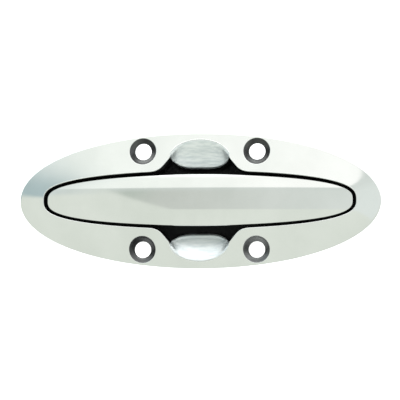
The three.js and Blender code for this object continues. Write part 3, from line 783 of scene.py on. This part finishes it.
def casting():
    """The as-cast body under the deck: the plate's own solid, cut off at the flange's underside,
    kept clear of the trough's skin and softened."""
    source = frame["nodes"]["deck_plate"]
    piece = bpy.data.objects.new("deck_casting", source.data.copy())
    bpy.context.scene.collection.objects.link(piece)
    bm = bmesh.new()
    bm.from_mesh(piece.data)
    bmesh.ops.remove_doubles(bm, verts=bm.verts, dist=1e-6)
    everything = [*bm.verts, *bm.edges, *bm.faces]
    cut = bmesh.ops.bisect_plane(bm, geom=everything, plane_co=(0, 0, -0.00005),
                                 plane_no=(0, 0, 1), clear_outer=True)
    rim = [e for e in cut["geom_cut"] if isinstance(e, bmesh.types.BMEdge)]
    bmesh.ops.triangle_fill(bm, edges=rim, use_beauty=True, use_dissolve=False)
    for v in bm.verts:
        if v.co.z > -0.0001:
            v.co.z = 0.0008
    bm.to_mesh(piece.data)
    bm.free()
    carve(piece, opening_tool())
    soften = piece.modifiers.new("cast skin", "REMESH")
    soften.mode = "VOXEL"
    soften.voxel_size = 0.75 * MM
    ease = piece.modifiers.new("ease", "SMOOTH")
    ease.factor = 0.5
    ease.iterations = 3
    settle(piece)
    piece.data.materials.clear()
    piece.data.materials.append(cast.material)
    return finished(piece, "housing", "deck_plate", sharp=180, weighted=False)


def opening_tool():
    """The opening's own volume, grown by a clearance, for cutting."""
    clearance, top_z = 0.9, 0.02
    rings, _ = opening_rings()
    skin = Skin()
    skin.strip(rings)
    base = rings[-1][:, :2]
    skin.fill([base], 3.0, point_in(base), lambda x, y: floor_z(x))
    tool = skin.build("opening_tool", [], closed=False)
    count = len(tool.data.vertices)
    points, normals = np.empty(count * 3), np.empty(count * 3)
    tool.data.vertices.foreach_get("co", points)
    tool.data.vertex_normals.foreach_get("vector", normals)
    points = points.reshape(-1, 3) - normals.reshape(-1, 3) * clearance * MM
    tool.data.vertices.foreach_set("co", points.ravel())
    bm = bmesh.new()
    bm.from_mesh(tool.data)
    mouth = [e for e in bm.edges if e.is_boundary]
    top = bmesh.ops.extrude_edge_only(bm, edges=mouth)["geom"]
    for v in top:
        if isinstance(v, bmesh.types.BMVert):
            v.co.z = top_z
    bmesh.ops.holes_fill(bm, edges=[e for e in bm.edges if e.is_boundary])
    bmesh.ops.recalc_face_normals(bm, faces=bm.faces)
    bm.to_mesh(tool.data)
    bm.free()
    return tool


def cup_plate(name, z0, z1, edge):
    """The cup's eared rim, which the gasket shares."""
    skin = Skin()
    slab(skin, rounded_rect(RIM_X, CUP_Y, CUP_CORNER), z0, z1, edge)
    plate = skin.build(name, [nylon.material])
    ears, webs = Skin(), Skin()
    for side in (-1, 1):
        lathe(ears, [(0, z0), (EAR_R, z0, edge), (EAR_R, z1, edge), (0, z1)],
              at(0, side * EAR_Y), 48)
        slab(webs, rounded_rect(3.4, 2.2, 0.9, 4), z0 + 0.02, z1 - 0.02, edge,
             at(0, side * (CUP_Y - 0.4)))
    carve(plate, webs.build("webs", []), "UNION")
    carve(plate, ears.build("ears", []), "UNION")
    return plate


def cup_form(name, wall, z0, z1, fillet):
    """The cup's closed shape at a wall's depth, its long walls drawn in below the shoulder."""
    def ring(z, inset=0.0):
        share = smooth_step((z - NECK_Z) / (SHOULDER_Z - NECK_Z))
        half_y = NECK_Y + (CUP_Y - NECK_Y) * share
        return ring3(rounded_rect(CUP_X - wall, half_y - wall, CUP_CORNER - wall)(inset), z)

    turn = [math.pi / 2 * k / 6 for k in range(7)]
    foot = [ring(z0 + fillet * (1 - math.cos(a)), fillet * (1 - math.sin(a)))
            for a in turn]
    bend = [ring(z) for z in np.linspace(NECK_Z, SHOULDER_Z, 11)]
    skin = Skin()
    skin.prism([*foot, *bend, ring(z1)])
    return skin.build(name, [nylon.material])


def cup_hollow(top):
    """The cup's inside, up to a height."""
    return cup_form("hollow", CUP_WALL, CUP_BOTTOM + CUP_WALL, top, HOLLOW_FILLET)


def cup_holes(z0, z1):
    """Rods where the cup screws pass."""
    r = SCREW_HOLE_R
    holes = Skin()
    for x, y in SCREWS:
        lathe(holes, [(0, z0), (r, z0), (r, z1), (0, z1)], at(x, y), 32)
    return holes.build("holes", [])


def along_barb(corners):
    """A turned tool on the hose tail's axis, measured from the middle of the cup."""
    tool = Skin()
    lathe(tool, corners, at(z=BARB_Z) @ ALONG_X)
    return tool


def cup_details():
    """The hose tail's boss, the fins under the shoulder and the gussets under the rim."""
    details = along_barb([(0, CUP_X - 4), (9.8, CUP_X - 4), (9.8, CUP_X + 3.5), (0, CUP_X + 3.5)])
    fin = np.array([(NECK_Y - 0.5, -60), (NECK_Y + 0.1, -60), (CUP_Y - 0.1, -41),
                    (NECK_Y - 0.5, -41)])
    rim_bottom = CUP_TOP - RIM_H
    gusset = np.array([(CUP_X - 1, rim_bottom - 14), (RIM_X - 3, rim_bottom - 0.5),
                       (RIM_X - 3, CUP_TOP - 1), (CUP_X - 1, CUP_TOP - 1)])
    for side in (-1, 1):
        for x in (-30, -15, 15, 30):
            details.prism([np.column_stack([np.full(4, x + side * w), side * fin[:, 0], fin[:, 1]])
                           for w in (-1, 1)])
        details.prism([np.column_stack([side * gusset[:, 0], np.full(4, -side * w), gusset[:, 1]])
                       for w in (1.2, -1.2)])
    details = details.build("details", [])
    bevelled(details, 0.4)
    return details


def drain_cup():
    """The moulded cup with its rim, fins and gussets, hollowed out and bored."""
    cup = cup_form("cup_moulding", 0.0, CUP_BOTTOM, CUP_TOP - RIM_EDGE, CUP_FILLET)
    carve(cup, cup_plate("rim", CUP_TOP - RIM_H, CUP_TOP, RIM_EDGE), "UNION")
    carve(cup, cup_details(), "UNION")
    carve(cup, cup_holes(CUP_TOP - 6, CUP_TOP + 2))
    carve(cup, cup_hollow(CUP_TOP + 1))
    bore = along_barb([(0, CUP_X - 6), (6.3, CUP_X - 6), (6.3, CUP_X + 6), (0, CUP_X + 6)])
    carve(cup, bore.build("bore", []))
    return finished(cup, "housing", "drain_cup", sharp=35)


def gasket():
    """The flat seal between the cup's rim and the casting."""
    low, high = box_mm("cup_gasket")
    plate = cup_plate("cup_gasket_sheet", low[2], high[2], 0.15)
    carve(plate, cup_holes(low[2] - 1, high[2] + 1))
    carve(plate, cup_hollow(CUP_TOP + 6))
    plate.data.materials.clear()
    plate.data.materials.append(rubber.material)
    return finished(plate, "housing", "cup_gasket", sharp=35)


def cup_screw(index):
    """Pan-headed socket screw, head down."""
    low, high = box_mm(f"cup_screw_{index}")
    x, y = (low[:2] + high[:2]) / 2
    top = low[2] + 2.6
    skin = Skin()
    lathe(skin, [(0, low[2]), (2.2, low[2], 0.6), (3.3, low[2] + 0.55, 0.5), (3.8, top - 0.9, 0.4),
                 (3.8, top, 0.15), (2.0, top, 0.15), (2.0, high[2] - 0.8), (1.4, high[2]),
                 (0, high[2])], at(x, y), 48)
    screw = skin.build(f"cup_screw_fine_{index}", [turned_steel.material])
    socket = Skin()
    recess = hexagon(1.45, x, y)
    socket.prism([ring3(recess, low[2] - 1), ring3(recess, low[2] + 1.3)])
    carve(screw, socket.build("socket", []))
    return finished(screw, "housing", f"cup_screw_{index}", sharp=35)


def hose_tail():
    """The barbed tail with its hexagon, screwed into the end of the cup."""
    start, end = BARB_LOW[0], BARB_HIGH[0]
    place = at(start, 0, BARB_Z) @ ALONG_X
    length = end - start
    skin = Skin()
    profile = [(4, 0), (6, 0, 0.3), (6, 8.6), (5.6, 13, 0.5), (5.6, 15, 0.1)]
    for z in (15, 20, 25):
        profile += [(7, z + 0.25, 0.25), (5.8, z + 4.8, 0.15)]
    profile += [(5.4, length - 0.1, 0.4), (4.3, length, 0.3), (4, length - 0.5, 0.2)]
    lathe(skin, profile, place, 64, closed=True)
    tail = skin.build("hose_tail", [nylon.material])
    flats = Skin()
    lathe(flats, [(4.6, 8.2), (8.9, 8.2, 0.2), (10, 8.9), (10, 11.5), (8.9, 12.2, 0.2),
                  (4.6, 12.2)], place, 96, closed=True)
    nut = flats.build("nut", [])
    prism = Skin()
    prism.prism([moved(ring3(hexagon(10), z), place) for z in (7, 13)])
    carve(nut, prism.build("prism", []), "INTERSECT")
    carve(tail, nut, "UNION")
    return finished(tail, "housing", "drain_barb", sharp=32)


def rubber_ring(name, node, place, profile):
    """A turned rubber seal in the housing."""
    skin = Skin()
    lathe(skin, profile, place, 72, closed=True)
    piece = skin.build(name, [rubber.material])
    return finished(piece, "housing", node, sharp=50)


def drain_seal():
    start = box_mm("drain_seal")[0][0]
    profile = [(6.3, 0, 0.2), (8.4, 0, 0.3), (8.8, 0.5, 0.2), (8.8, 1.0, 0.2), (8.4, 1.5, 0.3),
               (6.3, 1.5, 0.2)]
    rubber_ring("drain_seal_ring", "drain_seal", at(start, 0, BARB_Z) @ ALONG_X, profile)


def wiper_seal(side, name):
    low, high = box_mm(f"post_seal_{name}")
    r, inner = (high[0] - low[0]) / 2, POST_R + GAP
    z0, z1 = low[2], high[2]
    profile = [(inner, z0, 0.2), (r, z0, 0.3), (r, z1 - 0.6, 0.3), (r - 0.6, z1, 0.25),
               (r - 1.3, z1, 0.15), (r - 1.5, z1 - 0.45, 0.12), (inner + 0.75, z1 - 1.0, 0.15),
               (inner + 0.35, z1 - 0.05, 0.1), (inner, z1 - 0.1, 0.05),
               (inner + 0.25, z1 - 1.2, 0.2), (inner, z1 - 2.0, 0.3)]
    rubber_ring(f"wiper_{name}", f"post_seal_{name}", at(side * POST_X), profile)


def post(side, name):
    z0, z1 = POST_LOW[2], POST_HIGH[2]
    skin = Skin()
    lathe(skin, [(0, z0 + 14), (3.3, z0 + 13), (3.3, z0 + 0.6), (3.9, z0, 0.15),
                 (POST_R - 0.8, z0, 0.2), (POST_R, z0 + 0.8, 0.3), (POST_R, z1 - 0.8, 0.3),
                 (POST_R - 0.8, z1, 0.2), (0, z1)], at(side * POST_X), 96)
    piece = skin.build(f"post_ground_{name}", [ground.material])
    return finished(piece, "cleat", f"post_{name}", sharp=50)


def rest_pad(side, name):
    middle, half = 58.0, 7
    slope = (bar_under(middle + half) - bar_under(middle - half)) / (2 * half)
    lean = Matrix.Rotation(-side * math.atan(slope), 4, "Y")
    place = at(side * middle, 0, bar_under(middle) - 0.65) @ lean
    skin = Skin()
    slab(skin, rounded_rect(half, 4.5, 4.45, 10), -2.2, 0, 0.6, place, low_edge=0.2)
    piece = skin.build(f"rest_pad_{name}", [rubber.material])
    return finished(piece, "housing", f"horn_rest_pad_{name}", sharp=50)


flange_piece = flange()
trough_piece = trough_skin()
bar_piece = horn_bar()
shell = trough_piece.modifiers.new("thickness", "SOLIDIFY")
shell.thickness = 0.5 * MM
shell.offset = -1

for piece, node, body in ((flange_piece, "deck_plate", "housing"),
                          (trough_piece, "deck_plate", "housing"),
                          (bar_piece, "horn_bar", "cleat")):
    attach(piece, body)
    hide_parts(node)

casting()
drain_cup()
gasket()
for number in range(1, 7):
    cup_screw(number)
hose_tail()
drain_seal()
for side, name in ((-1, "left"), (1, "right")):
    wiper_seal(side, name)
    post(side, name)
    rest_pad(side, name)

FINISHES = {
    "polished_steel": polish, "turned_steel": turned_steel, "black_nylon": nylon,
    "black_rubber": rubber, "acetal": acetal,
}
for entry in frame["record"]["subparts"]:
    node = frame["nodes"][entry["node"]]
    node.data.materials.clear()
    node.data.materials.append(FINISHES[entry["material_slot"]].material)

# ------------------------------------------------------------------ studio

def world():
    """White to the camera; to light and reflections, a sky of soft zones set by direction."""
    w = bpy.data.worlds.new("studio")
    bpy.context.scene.world = w
    w.use_nodes = True
    tree = w.node_tree
    tree.nodes.clear()

    def node(kind, **values):
        n = tree.nodes.new(kind)
        for key, value in values.items():
            setattr(n, key, value)
        return n

    def math_node(op, a, b):
        n = node("ShaderNodeMath", operation=op)
        for i, v in enumerate((a, b)):
            if isinstance(v, (int, float)):
                n.inputs[i].default_value = v
            else:
                tree.links.new(v, n.inputs[i])
        return n.outputs[0]

    coord = node("ShaderNodeTexCoord").outputs["Generated"]
    split = node("ShaderNodeSeparateXYZ")
    tree.links.new(coord, split.inputs[0])
    x, y, z = split.outputs
    up = math_node("MAXIMUM", z, 0.03)
    px = math_node("DIVIDE", x, up)
    py = math_node("DIVIDE", y, up)

    def edge(value, middle, width):
        """Rises softly from 0 to 1 as the value passes the middle."""
        n = node("ShaderNodeMapRange", interpolation_type="SMOOTHSTEP")
        n.inputs["From Min"].default_value = middle - width / 2
        n.inputs["From Max"].default_value = middle + width / 2
        tree.links.new(value, n.inputs["Value"])
        return n.outputs["Result"]

    def mix(factor, a, b):
        n = node("ShaderNodeMix", data_type="RGBA")
        tree.links.new(factor, n.inputs["Factor"])
        for socket, value in (("A", a), ("B", b)):
            target = [s for s in n.inputs if s.name == socket and s.type == "RGBA"][0]
            if isinstance(value, tuple):
                target.default_value = (*value, 1)
            else:
                tree.links.new(value, target)
        return [s for s in n.outputs if s.type == "RGBA"][0]

    def minus(value):
        return math_node("MULTIPLY", value, -1)

    south = (0.81, 0.855, 0.785)
    wedge, zenith, east = (0.55, 0.61, 0.55), (0.65, 0.68, 0.635), (0.85, 0.905, 0.875)
    below_north = (0.73, 0.78, 0.75)
    west, west_low = (0.47, 0.585, 0.6), (0.62, 0.69, 0.69)
    north_left, north_right, low_north = (1.05, 1.09, 1.04), (1.17, 1.18, 1.15), (2.3, 2.35, 2.35)
    horizon = (0.55, 0.57, 0.57)
    curve = math_node("ADD", px, math_node("MULTIPLY", math_node("ADD", py, 0.25), 0.195))
    overhead = mix(edge(px, -0.215, 0.07), wedge, mix(edge(px, 0.1, 0.75), zenith, east))
    overhead = mix(edge(py, 0.45, 0.3), overhead, below_north)
    grey = math_node("MULTIPLY", edge(py, -0.25, 0.03), edge(curve, -0.1624, 0.02))
    colour = mix(grey, south, overhead)
    left = math_node("MULTIPLY", edge(minus(px), 0.38, 0.3), edge(py, 0.3, 0.2))
    colour = mix(left, colour, west_low)
    far_left = edge(minus(px), 0.44, 0.1)
    sharp, low_left = edge(py, 0.526, 0.025), edge(py, 0.2, 0.14)
    softer = math_node("MULTIPLY", far_left, math_node("SUBTRACT", low_left, sharp))
    upper = math_node("ADD", sharp, softer)
    north = mix(edge(px, -0.08, 0.45), north_left, north_right)
    north = mix(edge(px, -0.48, 0.43), west, north)
    colour = mix(upper, colour, mix(edge(py, 1.25, 0.5), north, low_north))
    colour = mix(edge(z, 0.2, 0.3), horizon, colour)
    back = node("ShaderNodeBackground")
    tree.links.new(colour, back.inputs["Color"])
    plain = node("ShaderNodeBackground")
    plain.inputs["Color"].default_value = (1, 1, 1, 1)
    pick = node("ShaderNodeMixShader")
    tree.links.new(node("ShaderNodeLightPath").outputs["Is Camera Ray"], pick.inputs[0])
    tree.links.new(back.outputs[0], pick.inputs[1])
    tree.links.new(plain.outputs[0], pick.inputs[2])
    out = node("ShaderNodeOutputWorld")
    tree.links.new(pick.outputs[0], out.inputs["Surface"])


def floor():
    """A pale floor that gives off light, so that the open bolt holes read white."""
    z, reach = cad_low[2] - 0.00005, 6
    mesh = bpy.data.meshes.new("floor")
    corners = [(-reach, -reach, z), (reach, -reach, z), (reach, reach, z), (-reach, reach, z)]
    mesh.from_pydata(corners, [], [(0, 1, 2, 3)])
    obj = bpy.data.objects.new("floor", mesh)
    bpy.context.scene.collection.objects.link(obj)
    m = bpy.data.materials.new("pale_floor")
    m.use_nodes = True
    shader = m.node_tree.nodes["Principled BSDF"]
    shader.inputs["Base Color"].default_value = (0.9, 0.9, 0.9, 1)
    shader.inputs["Roughness"].default_value = 0.9
    shader.inputs["Emission Color"].default_value = (1, 1, 1, 1)
    shader.inputs["Emission Strength"].default_value = 0.9
    mesh.materials.append(m)


def camera():
    """A long lens nearly straight above, turned a little right of and below the vertical."""
    data = bpy.data.cameras.new("camera")
    cam = bpy.data.objects.new("camera", data)
    bpy.context.scene.collection.objects.link(cam)
    bpy.context.scene.camera = cam
    distance, view_width, film = 2.0, 0.1984, 36
    tilt_x, tilt_y, roll = math.radians(6.0), math.radians(4.6), math.radians(0.25)
    target = Vector((0.0001, 0.0002, 0.003))
    back = Vector((math.tan(tilt_x), -math.tan(tilt_y), 1)).normalized()
    right = Vector((0, 1, 0)).cross(back).normalized()
    look = Matrix((right, back.cross(right), back)).transposed().to_4x4()
    turned = look @ Matrix.Rotation(roll, 4, "Z")
    cam.matrix_world = Matrix.Translation(target + back * distance) @ turned
    data.sensor_width = film
    data.lens = film * distance / view_width
    data.clip_start = 0.1


world()
floor()
camera()
bpy.context.scene.view_settings.view_transform = "Standard"
